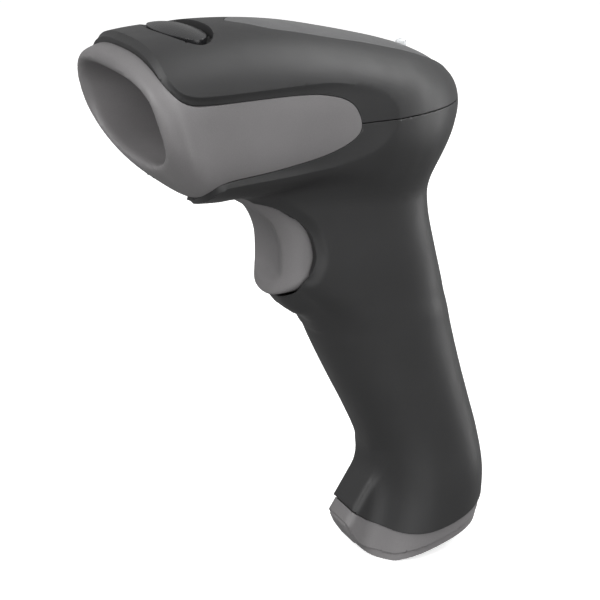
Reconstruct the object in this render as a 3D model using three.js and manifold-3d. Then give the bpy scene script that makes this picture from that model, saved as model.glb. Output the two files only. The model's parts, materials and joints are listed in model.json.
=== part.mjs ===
// Handheld barcode scanner of the gun type: a wide nose that looks at the label, a grip with a
// trigger, and a modular cable socket in the butt.
// Millimetres. +Z is up, the nose points towards -Y, and X runs across the body.
// The body is drawn with its heights counted from 4 mm below the butt, and the finished group is
// moved so that its origin is the middle of the grip.

import * as THREE from 'three';
import { mergeVertices } from 'three/addons/utils/BufferGeometryUtils.js';
import Module from 'manifold-3d';

const wasm = await Module();
wasm.setup();

// ---------------------------------------------------------------- driving dimensions

const WALL = 2.2; // moulded wall of the housing
const BEZEL_INSET = 1.2; // the light nose moulding lies this far below the dark shells
const SEAM = 0.3; // gap between touching mouldings
const SEAM_HEIGHT = 146.2; // parting line between the top cover and the lower housing
const GRIP_CENTRE = [0, 33.3, 62.4];
const HANDLE_TILT = THREE.MathUtils.degToRad(20.5); // lean of the handle from the vertical
const HANDLE_FOOT = [0, 45.5, 2.4]; // a point low on the handle's axis
const BUTT_FRONT = [26, 3.9]; // ends of the flat bottom of the butt, in side view
const BUTT_REAR = [54, 10.4];
const BUTT_SLOPE = (BUTT_REAR[1] - BUTT_FRONT[1]) / (BUTT_REAR[0] - BUTT_FRONT[0]);
const SOCKET_TILT = Math.atan(BUTT_SLOPE); // the cable plugs in square to the butt's bottom
const SOCKET_MOUTH = [0, 37, BUTT_FRONT[1] + BUTT_SLOPE * 11]; // on the bottom of the butt
const WINDOW_CENTRE = [0, -21, 148.4];
const WINDOW_TILT = THREE.MathUtils.degToRad(10);
const WINDOW_SIZE = [43, 1.5, 18.5];
const TRIGGER_PIVOT = [-5.5, 126.2]; // y and z of the trigger's pin
const TRIGGER_HALF_WIDTH = 12.9;
const POCKET_HALF_WIDTH = 13.3;
const BEAM_HEIGHT = 148; // the laser beam's height inside the head
const SCAN_MIRROR = [-5, -5]; // x and y of the middle of the swinging mirror
const FOLD_MIRROR = [10, -5]; // x and y of the collecting mirror that folds the beam
const BADGE_Y = -35.5; // middle of the oval plate on the top
const LIGHT_PIPE_Y = 31.5;

// Cross-sections of the dark head from the nose to the rear dome. Each is an egg-shaped outline:
// halfWidth at the height widest, up to top and down to bottom. upper and lower are how square the
// two halves are.
const HEAD_SECTIONS = [
  { at: -50, halfWidth: 28.0, top: 168.2, bottom: 127.2, widest: 151, upper: 2.8, lower: 3.0 },
  { at: -42, halfWidth: 28.0, top: 169.8, bottom: 127.0, widest: 150, upper: 2.8, lower: 3.1 },
  { at: -34, halfWidth: 28.0, top: 170.7, bottom: 126.9, widest: 149.5, upper: 2.7, lower: 3.3 },
  { at: -20, halfWidth: 27.8, top: 170.8, bottom: 126.9, widest: 149, upper: 2.6, lower: 3.3 },
  { at: -5, halfWidth: 27.2, top: 169.4, bottom: 127.2, widest: 148, upper: 2.5, lower: 3.0 },
  { at: 8, halfWidth: 26.2, top: 166.8, bottom: 126.0, widest: 147, upper: 2.5, lower: 2.7 },
  { at: 17, halfWidth: 25.2, top: 164.7, bottom: 124.0, widest: 146.5, upper: 2.4, lower: 2.5 },
  { at: 25, halfWidth: 23.2, top: 162.6, bottom: 122.5, widest: 146, upper: 2.4, lower: 2.3 },
  { at: 32.3, halfWidth: 20.0, top: 160.2, bottom: 123.0, widest: 145.5, upper: 2.3, lower: 2.2 },
  { at: 38, halfWidth: 16.4, top: 157.8, bottom: 126.0, widest: 145, upper: 2.2, lower: 2.1 },
  { at: 43.5, halfWidth: 11.2, top: 154.2, bottom: 131.5, widest: 144.5, upper: 2, lower: 2 },
  { at: 46.6, halfWidth: 6.6, top: 150.8, bottom: 136.5, widest: 144.3, upper: 2, lower: 2 },
  { at: 48.4, halfWidth: 1.2, top: 145.8, bottom: 142.6, widest: 144.2, upper: 2, lower: 2 },
];

// The light nose moulding flares in front of the shells into a rounded rim.
const RIM_SECTIONS = [
  { at: -50.8, halfWidth: 28.4, top: 162.2, bottom: 134.6, widest: 149, upper: 2.5, lower: 2.2 },
  { at: -50.2, halfWidth: 29.6, top: 163.8, bottom: 132.9, widest: 149, upper: 2.5, lower: 2.2 },
  { at: -48.0, halfWidth: 30.5, top: 165.6, bottom: 131.0, widest: 149, upper: 2.6, lower: 2.3 },
  { at: -44.5, halfWidth: 29.8, top: 167.0, bottom: 129.8, widest: 149, upper: 2.6, lower: 2.6 },
  { at: -40, halfWidth: 27.9, top: 168.4, bottom: 129.2, widest: 149.5, upper: 2.7, lower: 3.1 },
  { at: -34, halfWidth: 26.8, top: 169.2, bottom: 128.6, widest: 149.5, upper: 2.7, lower: 3.3 },
  { at: -20, halfWidth: 26.5, top: 169.4, bottom: 128.4, widest: 149, upper: 2.6, lower: 3.3 },
  { at: -5, halfWidth: 25.9, top: 168.0, bottom: 128.6, widest: 148, upper: 2.5, lower: 3.0 },
  { at: 8, halfWidth: 24.9, top: 165.4, bottom: 127.3, widest: 147, upper: 2.5, lower: 2.7 },
];
const NOSE_RAKE = 0.28; // the nose leans forward at the top by this much per millimetre of height

// The open funnel of the nose, from its mouth to the throat in front of the window.
const FUNNEL_SECTIONS = [
  { at: -56, halfWidth: 27.6, top: 161.4, bottom: 134.8, widest: 149, upper: 2.6, lower: 2.5 },
  { at: -50, halfWidth: 26.6, top: 160.4, bottom: 135.9, widest: 149, upper: 2.7, lower: 2.6 },
  { at: -38, halfWidth: 24.2, top: 158.2, bottom: 138.6, widest: 148.8, upper: 3, lower: 3 },
  { at: -18, halfWidth: 20.6, top: 156.2, bottom: 140.6, widest: 148.4, upper: 4, lower: 4 },
];

// Horizontal sections of the grip from inside the head down to the butt: front and back are the
// y of its front and back faces on the middle plane, squareFront and squareBack how square the corners are.
const GRIP_SECTIONS = [
  { at: 146, front: 6, back: 39.8, halfWidth: 17, squareFront: 2.6, squareBack: 2.4 },
  { at: 134, front: -24, back: 38.8, halfWidth: 17.6, squareFront: 3.2, squareBack: 2.7 },
  { at: 125, front: -26, back: 37.4, halfWidth: 17.2, squareFront: 3.6, squareBack: 2.8 },
  { at: 116, front: -16.5, back: 37.8, halfWidth: 16.8, squareFront: 3.8, squareBack: 2.8 },
  { at: 104, front: -11.5, back: 40.6, halfWidth: 16.6, squareFront: 4, squareBack: 2.8 },
  { at: 96, front: -8.4, back: 43.2, halfWidth: 16.3, squareFront: 3.8, squareBack: 2.6 },
  { at: 91.5, front: -7.3, back: 44.6, halfWidth: 16.2, squareFront: 2.8, squareBack: 2.5 },
  { at: 88.6, front: -5.5, back: 45.5, halfWidth: 16.2, squareFront: 2.5, squareBack: 2.4 },
  { at: 86.2, front: -1.4, back: 46.3, halfWidth: 16.1, squareFront: 2.3, squareBack: 2.3 },
  { at: 84, front: 1.6, back: 46.9, halfWidth: 16.1, squareFront: 2.3, squareBack: 2.3 },
  { at: 81.3, front: 2.8, back: 47.7, halfWidth: 16.1, squareFront: 2.3, squareBack: 2.3 },
  { at: 78, front: 3.8, back: 48.6, halfWidth: 16, squareFront: 2.3, squareBack: 2.3 },
  { at: 62.4, front: 11.2, back: 53.0, halfWidth: 15.8, squareFront: 2.3, squareBack: 2.3 },
  { at: 51.7, front: 16.6, back: 56.3, halfWidth: 15.9, squareFront: 2.3, squareBack: 2.3 },
  { at: 40, front: 21.8, back: 59.7, halfWidth: 16.4, squareFront: 2.35, squareBack: 2.35 },
  { at: 28, front: 24.0, back: 61.9, halfWidth: 17.4, squareFront: 2.4, squareBack: 2.4 },
  { at: 14, front: 22.0, back: 61.8, halfWidth: 17.8, squareFront: 2.4, squareBack: 2.4 },
  { at: -4, front: 16.0, back: 61.4, halfWidth: 18, squareFront: 2.4, squareBack: 2.4 },
];

// Horizontal sections of the trigger's finger face, from its lower lip up to its tip.
const TRIGGER_SECTIONS = [
  { at: 93, front: -8.6, halfWidth: 12.9, squareness: 3.2 },
  { at: 95, front: -10.2, halfWidth: 12.9, squareness: 3.2 },
  { at: 97.5, front: -11.2, halfWidth: 12.9, squareness: 3.2 },
  { at: 100.5, front: -10.7, halfWidth: 12.9, squareness: 3.4 },
  { at: 105, front: -9.9, halfWidth: 12.9, squareness: 3.6 },
  { at: 110, front: -10.1, halfWidth: 12.9, squareness: 3.6 },
  { at: 114, front: -11.5, halfWidth: 12.9, squareness: 3.6 },
  { at: 118, front: -14.2, halfWidth: 12.9, squareness: 3.4 },
  { at: 121.5, front: -17.9, halfWidth: 12.9, squareness: 3.2 },
  { at: 124.4, front: -22.4, halfWidth: 12.9, squareness: 3 },
  { at: 126.3, front: -26, halfWidth: 12.9, squareness: 3 },
];
const TRIGGER_REAR = 1.5; // y of the back edge of its flanks

// The toe of the butt: a narrow prow with a flat front, drawn in side view as (y, z).
const TOE_OUTLINE = [
  [36, 44], [25.5, 36], [24.2, 33.4], [20.1, 28.8], [11.2, 15.4], [12.8, 11.6], [16, 6.6], [36, 0],
];
const TOE_HALF_WIDTH = 5.6;

// The bottom of the butt and the seam of its cap, in side view from front to back.
const BUTT_TOE = [[6, 24], [11, 15.2], [12.8, 11.4], [15.6, 7.2], [19.6, 4.6], BUTT_FRONT];
const BUTT_HEEL = [BUTT_REAR, [59, 13.4], [62.4, 18], [64.6, 26]];
const CAP_SEAM = [
  [5, 33], [13.6, 21.6], [18, 17.8], [21, 15.6], [27, 13.4], [36, 12.8], [46, 14.5], [56, 17.5], [70, 23.4],
];

// Half of the outline of the satin inlay on the top, as (y, half-width) pairs from its tip.
const INLAY_HALF = [
  [-22, 0.6], [-20, 4], [-15, 10], [-9, 12], [1, 13.5], [12, 12.8], [25, 12], [35, 9.6], [42, 6], [43, 4.6],
];

// ---------------------------------------------------------------- materials

const plastic = (color, roughness) => new THREE.MeshStandardMaterial({ color, roughness, metalness: 0 });
const metal = (color, roughness) => new THREE.MeshStandardMaterial({ color, roughness, metalness: 1 });

const shellPlastic = plastic(0x3a3a3b, 0.5);
const bezelPlastic = plastic(0x6c6a6b, 0.5);
const satinPlastic = plastic(0x565657, 0.35);
const blackPlastic = plastic(0x161617, 0.45);
const clearPlastic = plastic(0xe6e9ea, 0.1);
const windowPlastic = plastic(0x7d1f1a, 0.05);
const filterPlastic = plastic(0x3c0c10, 0.08);
const rubber = plastic(0x1b1b1b, 0.85);
const boardLaminate = plastic(0x1f5b35, 0.5);
const ribbonFilm = plastic(0xb9772c, 0.5);
const castZinc = metal(0x8d8f92, 0.45);
const steel = metal(0xa7a9ac, 0.3);
const brass = metal(0xb08d45, 0.3);
const copper = metal(0xb06a3a, 0.35);
const mirrorGlass = metal(0xdfe4e8, 0.04);
const gold = metal(0xcfa64a, 0.25);

// ---------------------------------------------------------------- solids

const X_AXIS = new THREE.Vector3(1, 0, 0);
const Y_AXIS = new THREE.Vector3(0, 1, 0);
const Z_AXIS = new THREE.Vector3(0, 0, 1);

// A closed geometry as a solid that can be joined and cut.
function solid(geometry, matrix = new THREE.Matrix4()) {
  const bare = new THREE.BufferGeometry();
  bare.setAttribute('position', geometry.getAttribute('position').clone());
  if (geometry.index) bare.setIndex(geometry.index.clone());
  bare.applyMatrix4(matrix);
  const welded = mergeVertices(bare, 1e-4);
  return new wasm.Manifold(
    new wasm.Mesh({
      numProp: 3,
      vertProperties: Float32Array.from(welded.getAttribute('position').array),
      triVerts: Uint32Array.from(welded.index.array),
    }),
  );
}

function geometryOf(body) {
  const mesh = body.getMesh();
  const geometry = new THREE.BufferGeometry();
  geometry.setAttribute('position', new THREE.BufferAttribute(mesh.vertProperties, 3));
  geometry.setIndex(new THREE.BufferAttribute(mesh.triVerts, 1));
  return geometry;
}

const join = (...bodies) => bodies.reduce((whole, next) => whole.add(next));
const cut = (body, ...tools) => tools.reduce((whole, next) => whole.subtract(next), body);

const moved = (x, y, z) => new THREE.Matrix4().makeTranslation(x, y, z);
const turned = (axis, angle) => new THREE.Matrix4().makeRotationAxis(axis, angle);

// A block given by its middle and its full sizes.
function block(middle, size) {
  return solid(new THREE.BoxGeometry(...size), moved(...middle));
}

// A round bar from one point to another.
function bar(from, to, radius, sides = 16) {
  const a = new THREE.Vector3(...from);
  const b = new THREE.Vector3(...to);
  const along = b.clone().sub(a);
  const turn = new THREE.Quaternion().setFromUnitVectors(Y_AXIS, along.clone().normalize());
  const matrix = new THREE.Matrix4().compose(
    a.clone().add(b).multiplyScalar(0.5),
    turn,
    new THREE.Vector3(1, 1, 1),
  );
  return solid(new THREE.CylinderGeometry(radius, radius, along.length(), sides), matrix);
}

// A solid turned about the Z axis from (radius, z) pairs that start and end on the axis.
function turning(pairs, sides = 16) {
  const profile = pairs.map(([radius, z]) => new THREE.Vector2(radius, z));
  return solid(new THREE.LatheGeometry(profile, sides), turned(X_AXIS, Math.PI / 2));
}

// A side outline of (y, z) points extruded across the body between two x values.
function acrossBody(outline, fromX, toX) {
  const shape = new THREE.Shape(outline.map(([y, z]) => new THREE.Vector2(y, z)));
  const geometry = new THREE.ExtrudeGeometry(shape, { depth: toX - fromX, bevelEnabled: false });
  const matrix = new THREE.Matrix4().makeBasis(Y_AXIS, Z_AXIS, X_AXIS);
  return solid(geometry, moved(fromX, 0, 0).multiply(matrix));
}

// A smooth curve through side-view points.
function throughPoints(points, steps) {
  const curve = new THREE.SplineCurve(points.map(([y, z]) => new THREE.Vector2(y, z)));
  return curve.getPoints(steps).map((p) => [p.x, p.y]);
}

// A closed body through rings of equally many points.
function loft(rings) {
  const count = rings[0].length;
  const positions = rings.flat().flatMap((p) => [p.x, p.y, p.z]);
  const index = [];
  for (let r = 0; r + 1 < rings.length; r += 1) {
    for (let i = 0; i < count; i += 1) {
      const a = r * count + i;
      const b = r * count + ((i + 1) % count);
      index.push(a, b, b + count, a, b + count, a + count);
    }
  }
  const last = (rings.length - 1) * count;
  for (let i = 1; i + 1 < count; i += 1) {
    index.push(0, i + 1, i);
    index.push(last, last + i, last + i + 1);
  }
  const geometry = new THREE.BufferGeometry();
  geometry.setAttribute('position', new THREE.Float32BufferAttribute(positions, 3));
  geometry.setIndex(index);
  return solid(geometry);
}

// One value of a list of sections at a place between them, on a smooth curve.
function sectionValue(sections, key, at) {
  let i = 0;
  const rising = Math.sign(sections[1].at - sections[0].at);
  while (i + 2 < sections.length && rising * (at - sections[i + 1].at) > 0) {
    i += 1;
  }
  const slope = (k) => {
    const before = sections[Math.max(k - 1, 0)];
    const after = sections[Math.min(k + 1, sections.length - 1)];
    return (after[key] - before[key]) / (after.at - before.at);
  };
  const [a, b] = [sections[i], sections[i + 1]];
  const span = b.at - a.at;
  const t = THREE.MathUtils.clamp((at - a.at) / span, 0, 1);
  const hermite = [
    2 * t ** 3 - 3 * t ** 2 + 1,
    t ** 3 - 2 * t ** 2 + t,
    -2 * t ** 3 + 3 * t ** 2,
    t ** 3 - t ** 2,
  ];
  const values = hermite[0] * a[key] + hermite[2] * b[key];
  return values + (hermite[1] * slope(i) + hermite[3] * slope(i + 1)) * span;
}

const signedPower = (value, power) => Math.sign(value) * Math.abs(value) ** power;

// An upright egg-shaped ring of a head section, drawn in by inset and leaning with rake.
function headRing(sections, at, inset, rake, sides) {
  const value = (key) => sectionValue(sections, key, at);
  const widest = value('widest');
  return Array.from({ length: sides }, (_, i) => {
    const angle = (2 * Math.PI * i) / sides;
    const [c, s] = [Math.cos(angle), Math.sin(angle)];
    const power = 2 / value(s >= 0 ? 'upper' : 'lower');
    const reach = s >= 0 ? value('top') - widest : widest - value('bottom');
    const z = widest + Math.max(reach - inset, 0.3) * signedPower(s, power);
    const x = Math.max(value('halfWidth') - inset, 0.3) * signedPower(c, power);
    return new THREE.Vector3(x, at - rake * (z - widest), z);
  });
}

function headBody(sections, places, inset = 0, rakeAt = () => 0, sides = 28) {
  return loft(places.map((at) => headRing(sections, at, inset, rakeAt(at), sides)).reverse());
}

// A level ring of the grip, drawn in by inset.
function gripRing(at, inset, sides) {
  const value = (key) => sectionValue(GRIP_SECTIONS, key, at);
  const middle = (value('front') + value('back')) / 2;
  const halfDepth = (value('back') - value('front')) / 2 - inset;
  return Array.from({ length: sides }, (_, i) => {
    const angle = (2 * Math.PI * i) / sides;
    const power = 2 / value(i > sides / 2 ? 'squareFront' : 'squareBack');
    const x = (value('halfWidth') - inset) * signedPower(Math.cos(angle), power);
    return new THREE.Vector3(x, middle + halfDepth * signedPower(Math.sin(angle), power), at);
  });
}

function gripBody(places, inset, sides = 24) {
  return loft(places.map((at) => gripRing(at, inset, sides)));
}

// ---------------------------------------------------------------- the assembly

const scanner = new THREE.Group();
scanner.position.set(...GRIP_CENTRE.map((value) => -value));

// Groups for the parts inside the handle and around the cable socket, which are drawn upright.
function leaningGroup(foot, tilt) {
  const group = new THREE.Group();
  group.position.set(...foot);
  group.rotation.x = tilt;
  scanner.add(group);
  return group;
}

const leaning = (foot, tilt) => new THREE.Matrix4().makeTranslation(...foot).multiply(turned(X_AXIS, tilt));

const handleGroup = leaningGroup(HANDLE_FOOT, HANDLE_TILT);
const handleMatrix = leaning(HANDLE_FOOT, HANDLE_TILT);
const socketGroup = leaningGroup(SOCKET_MOUTH, SOCKET_TILT);
const socketMatrix = leaning(SOCKET_MOUTH, SOCKET_TILT);

function addPart(name, body, material, parent = scanner) {
  const mesh = new THREE.Mesh(geometryOf(body), material);
  mesh.name = name;
  parent.add(mesh);
  return mesh;
}

// ---------------------------------------------------------------- outlines in side view

const HALF = 40; // half the width of the cutting bodies
const FRONT = -80; // well in front of the nose
const BACK = 90; // well behind the butt
const SKY = 190; // well above the head

// The ridge where the dark shells break into the band around the light panel.
const RIDGE_UPPER = throughPoints(
  [[-49, 178], [-48.6, 166], [-47.4, 161.4], [-43.6, 158.6], [-36, 157.9], [-12, 158], [-2, 157.4], [8, 155],
    [13.4, 151.6], [15.6, 146.2]],
  28,
);
const RIDGE_LOWER = throughPoints(
  [[15.6, 146.2], [14.2, 142.6], [9.2, 138.6], [1, 136.2], [-12, 135.2], [-31, 134.4], [-35, 133.2],
    [-37.6, 129], [-38.6, 120]],
  24,
);

// The edge of the light panel inside the ridge.
const PANEL_UPPER = throughPoints(
  [[-50.6, 178], [-50.2, 165], [-48.6, 160], [-44.6, 156.6], [-38, 155.6], [-17, 155.5], [-6, 154.6],
    [1.6, 151.8], [4.6, 146.2]],
  26,
);
const PANEL_LOWER = throughPoints(
  [[4.6, 146.2], [2.4, 142.4], [-6, 139.2], [-20, 137], [-33, 135.6], [-37.2, 133.8], [-39.6, 129.5],
    [-40.6, 120]],
  22,
);

// The round edge of the housing around the trigger's flanks.
const POCKET_EDGE = throughPoints(
  [[-26, 126.6], [-19, 124.9], [-14.4, 123.1], [-8.4, 119], [-5, 115], [-3.2, 109.4], [-3.5, 105.4],
    [-5.3, 101.4], [-8, 99.4]],
  16,
);

// The rounded bottom of the trigger's slot, seen from the front as (x, z).
function slotSection(halfWidth, bottom, top) {
  const curve = Array.from({ length: 13 }, (_, i) => {
    const x = halfWidth * (i / 6 - 1);
    return [x, bottom + 6 * Math.abs(i / 6 - 1) ** 2.4];
  });
  return [...curve, [halfWidth, top], [-halfWidth, top]];
}

// ---------------------------------------------------------------- solids of the moulded shells

const headPlaces = [-50, -46, -42, -37, -30, -20, -10, 0, 8, 14, 20, 26, 32, 37, 41, 44, 46.4, 48.2];
const rimPlaces = [-51.8, -51, -49.8, -48, -45.5, -43, -40, -35, -24, -10, 0, 8];
const funnelPlaces = [-56, -50, -44, -38, -30, -18];
const gripPlaces = [-4, 8, 18, 28, 35, 42, 52, 64, 74, 80, 83.5, 86, 88.5, 92, 98, 106, 116, 125, 134, 146];

// The lean of the nose fades out behind the rim.
const rimRake = (at) => NOSE_RAKE * THREE.MathUtils.smoothstep(-at, 30, 50);
const noseRake = () => NOSE_RAKE;

const headOuter = headBody(HEAD_SECTIONS, headPlaces, 0, rimRake);
const headInset = headBody(HEAD_SECTIONS, headPlaces, BEZEL_INSET, rimRake);
const headCavity = headBody(HEAD_SECTIONS, [-53, ...headPlaces.slice(0, -1)], WALL + BEZEL_INSET, rimRake);
const rimOuter = headBody(RIM_SECTIONS, rimPlaces, 0, rimRake);
const rimCavity = headBody(RIM_SECTIONS, rimPlaces.filter((at) => at > -46), WALL, rimRake);
const funnelInner = headBody(FUNNEL_SECTIONS, funnelPlaces, 0, noseRake);
const funnelOuter = headBody(FUNNEL_SECTIONS, funnelPlaces, -1.8, noseRake);
const funnelRoom = headBody(FUNNEL_SECTIONS, funnelPlaces, -2.1, noseRake);
const gripOuter = gripBody(gripPlaces, 0);
const gripCavity = gripBody(gripPlaces.filter((at) => at > 2), WALL);

// Regions of space in side view.
const aboveLine = (line, gap) =>
  acrossBody([...line.map(([y, z]) => [y, z + gap]), [BACK, SKY], [FRONT, SKY]], -HALF, HALF);
const insideLoop = (upper, lower) =>
  acrossBody([...upper, ...lower.slice(1), [FRONT, 120], [FRONT, 178]], -HALF, HALF);
const levelRegion = (low, high) =>
  acrossBody([[FRONT, low], [BACK, low], [BACK, high], [FRONT, high]], -HALF, HALF);

// A body pushed outwards by the seam gap, made from shifted copies.
const grown = (body, gap) =>
  join(body, body.translate([0, gap, 0]), body.translate([0, 0, gap]), body.translate([0, 0, -gap]));

const buttLine = [...throughPoints(BUTT_TOE, 12), ...throughPoints(BUTT_HEEL, 7)];
const capSeam = throughPoints(CAP_SEAM, 18);
const toe = acrossBody(TOE_OUTLINE, -TOE_HALF_WIDTH, TOE_HALF_WIDTH);
const handleOuter = join(gripOuter, toe).intersect(aboveLine(buttLine, 0));

// Inside the ridge the shells drop to the inset surface, which makes the band.
const bandCut = cut(insideLoop(RIDGE_UPPER, RIDGE_LOWER).intersect(headOuter), headInset);
const panelLoop = insideLoop(PANEL_UPPER, PANEL_LOWER);
const panelGap = grown(panelLoop, SEAM);

// The head's skin from one depth below its surface to another.
function headLayer(outer, inner) {
  const whole = headBody(HEAD_SECTIONS, headPlaces, outer, rimRake);
  return cut(whole, headBody(HEAD_SECTIONS, headPlaces, inner, rimRake));
}

// A plan outline of (x, y) points as an upright prism between two heights.
function upright(outline, low, high) {
  const shape = new THREE.Shape(outline.map(([x, y]) => new THREE.Vector2(x, y)));
  const layer = new THREE.ExtrudeGeometry(shape, { depth: high - low, bevelEnabled: false });
  return solid(layer, moved(0, 0, low));
}

// The inlay's half outline, mirrored to the other side and drawn in by a gap.
function inlayOutline(gap) {
  const right = throughPoints(INLAY_HALF, 12).map(([y, x]) => [Math.max(x - gap, 0.2), y]);
  const front = INLAY_HALF[0][0] + gap;
  const rear = INLAY_HALF.at(-1)[0] - gap;
  const trimmed = right.map(([x, y]) => [x, THREE.MathUtils.clamp(y, front, rear)]);
  return [...trimmed, ...trimmed.map(([x, y]) => [-x, y]).reverse()];
}

function ellipsePrism(halfX, halfY, low, high, sides = 32) {
  const outline = Array.from({ length: sides }, (_, i) => {
    const angle = (2 * Math.PI * i) / sides;
    return [halfX * Math.cos(angle), BADGE_Y + halfY * Math.sin(angle)];
  });
  return upright(outline, low, high);
}

function topCover() {
  const skin = cut(headOuter, headCavity, bandCut, panelGap, funnelRoom);
  const shell = skin.intersect(levelRegion(SEAM_HEIGHT + SEAM / 2, SKY));
  const inlayGroove = upright(inlayOutline(0), 140, SKY).intersect(headLayer(-0.5, 1));
  const badgePad = ellipsePrism(18.5, 8.5, 164.4, 168);
  const badgeScoop = ellipsePrism(17, 6.9, 167.8, SKY);
  const screwHead = bar([0, BADGE_Y, 166.3], [0, BADGE_Y, 170], 2.6);
  const screwShaft = bar([0, BADGE_Y, 160], [0, BADGE_Y, 170], 1.3, 10);
  const lightPipeHole = bar([0, LIGHT_PIPE_Y, 140], [0, LIGHT_PIPE_Y, 170], 1.9);
  const hooks = [-1, 1].flatMap((side) => [
    block([side * 20.7, 16.5, 148.8], [3.8, 5, 3.2]),
    block([side * 19.7, 16.5, 145], [1.8, 5, 5]),
  ]);
  return cut(join(shell, badgePad, ...hooks), inlayGroove, badgeScoop, screwHead, screwShaft, lightPipeHole);
}

function topInlay() {
  const plate = upright(inlayOutline(0.25), 140, SKY).intersect(headLayer(0, 0.75));
  return cut(plate, bar([0, LIGHT_PIPE_Y, 140], [0, LIGHT_PIPE_Y, 170], 1.9));
}

function badgePlate() {
  const dome = turning([[0, 0], [1, 0], [1, 0.55], [0.93, 0.8], [0.6, 1.15], [0, 1.35]], 28);
  return dome.scale([16.4, 6.3, 1]).translate([0, BADGE_Y, 168.1]);
}

const statusLightPipe = () =>
  turning([[0, 0], [1.3, 0], [1.6, 0.6], [1.6, 12.3], [1.2, 12.9], [0, 13.1]], 14)
    .translate([0, LIGHT_PIPE_Y, 147.5]);

// Space for the trigger: its round window through both flanks and the slot that it swings in.
function triggerSpace() {
  const window = acrossBody([...POCKET_EDGE, [-30, 99.2], [-30, 126.6]], -HALF, HALF);
  const slotCorners = slotSection(POCKET_HALF_WIDTH, 93.6, 127).map(([x, z]) => new THREE.Vector2(x, -z));
  const slotShape = new THREE.Shape(slotCorners);
  const slotBlock = new THREE.ExtrudeGeometry(slotShape, { depth: 36, bevelEnabled: false });
  const slot = solid(slotBlock, turned(X_AXIS, -Math.PI / 2))
    .translate([0, -30, 0]);
  const [y, z] = TRIGGER_PIVOT;
  const bossRoom = bar([-POCKET_HALF_WIDTH, y, z], [POCKET_HALF_WIDTH, y, z], 3.7, 16);
  return join(window, slot, bossRoom);
}

function lowerHousing() {
  const outside = join(cut(headOuter, bandCut, panelGap), handleOuter);
  const walls = cut(outside, headCavity, gripCavity, toeCavity(), funnelRoom);
  const [y, z] = TRIGGER_PIVOT;
  const springRest = block([0, 5, 127.3], [33, 2, 3.6]);
  const pinBosses = [-1, 1].map((side) => bar([side * 13.3, y, z], [side * 15.6, y, z], 3.2));
  const enginePosts = [-1, 1].map((side) => bar([side * 20, 2, 126], [side * 20, 2, 138.7], 2.1, 12));
  const boardLedges = [-1, 1].flatMap((side) => [
    block([side * 15.6, 26, 142], [11, 5, 3.2]),
    bar([side * 10.6, 26, 137.4], [side * 10.6, 26, 143.6], 2.2, 12),
  ]);
  const handleBoss = bar([0, 31.7, 63.4], [0, 49.5, 70.1], 2.6, 12);
  const capBoss = bar([0, 55.8, 16], [0, 53.8, 27], 3, 12);
  const capRib = block([0, 57.4, 23.5], [2, 7, 8]);
  const inside = join(springRest, ...pinBosses, ...enginePosts, ...boardLedges, handleBoss, capBoss, capRib);
  const body = join(walls, inside.intersect(outside))
    .intersect(levelRegion(-10, SEAM_HEIGHT - SEAM / 2))
    .intersect(aboveLine(capSeam, SEAM));
  const pinHole = bar([-14.9, y, z], [14.9, y, z], 1.35);
  const enginePilots = [-1, 1].map((side) => bar([side * 20, 2, 133.6], [side * 20, 2, 140], 1, 8));
  const boardPilots = [-1, 1].map((side) => bar([side * 10.6, 26, 138.4], [side * 10.6, 26, 145], 1, 8));
  const handlePilot = handleBar([0, 8, 62], [0, 15.5, 62], 1, 8);
  const capPilot = capBar(11, 19.6, 1.2, 8);
  return cut(body, triggerSpace(), pinHole, ...enginePilots, ...boardPilots, handlePilot, capPilot);
}

function toeCavity() {
  return acrossBody([[36, 38], [27, 34.6], [25.6, 32.6], [22.2, 28], [16, 18.8], [36, 8]], -3.6, 3.6);
}

// Bars drawn along the handle's own axes.
function handleBar(from, to, radius, sides) {
  return bar(from, to, radius, sides).transform([...handleMatrix.elements]);
}

// Bars along the screw that holds the cap, by distances from a point below the butt.
function capBar(from, to, radius, sides = 14) {
  const place = (s) => [0, 57.9 - 0.196 * s, 6.5 + 0.981 * s];
  return bar(place(from), place(to), radius, sides);
}

// The funnel's narrow end and the window lie on one plane, leaned back from the beam.
const windowMatrix = moved(...WINDOW_CENTRE).multiply(turned(X_AXIS, WINDOW_TILT));
const windowBlock = (size, y) =>
  solid(new THREE.BoxGeometry(...size), windowMatrix.clone().multiply(moved(0, y, 0)));

function noseBezel() {
  const skin = cut(rimOuter.intersect(panelLoop), rimCavity);
  const funnel = funnelOuter.intersect(rimOuter);
  const behindThroat = windowBlock([47, 60, 34], 30 - 2.1);
  const screwBoss = bar([0, BADGE_Y, 158], [0, BADGE_Y, 164], 3);
  const pilot = bar([0, BADGE_Y, 158], [0, BADGE_Y, 166], 1.3, 10);
  return cut(join(skin, funnel, screwBoss), behindThroat, funnelInner, pilot);
}

function baseCap() {
  const shell = cut(handleOuter, aboveLine(capSeam, 0));
  const floor = aboveLine(buttLine, 2.4);
  const hollow = join(gripCavity, toeCavity()).intersect(floor);
  const socketHole = solid(new THREE.BoxGeometry(14.2, 12.4, 60), socketMatrix);
  const plugRecess = solid(new THREE.BoxGeometry(16, 14, 2), socketMatrix);
  const screwPost = capBar(6, 10.8, 3.2).intersect(handleOuter);
  const screwHead = capBar(0, 7.4, 2.5);
  const screwShaft = capBar(4, 13, 1.3, 10);
  return cut(join(cut(shell, hollow), screwPost), socketHole, plugRecess, screwHead, screwShaft);
}

// ---------------------------------------------------------------- trigger

// A level ring of the trigger: rounded finger face, straight back.
function triggerRing(at, inset) {
  const value = (key) => sectionValue(TRIGGER_SECTIONS, key, at);
  const rear = TRIGGER_REAR + inset;
  const depth = rear - value('front') - inset;
  const power = 2 / value('squareness');
  return Array.from({ length: 21 }, (_, i) => {
    const angle = Math.PI + (Math.PI * i) / 20;
    const x = (value('halfWidth') - inset) * signedPower(Math.cos(angle), power);
    return new THREE.Vector3(x, rear + depth * signedPower(Math.sin(angle), power) * (i % 20 ? 1 : 0), at);
  });
}

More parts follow.
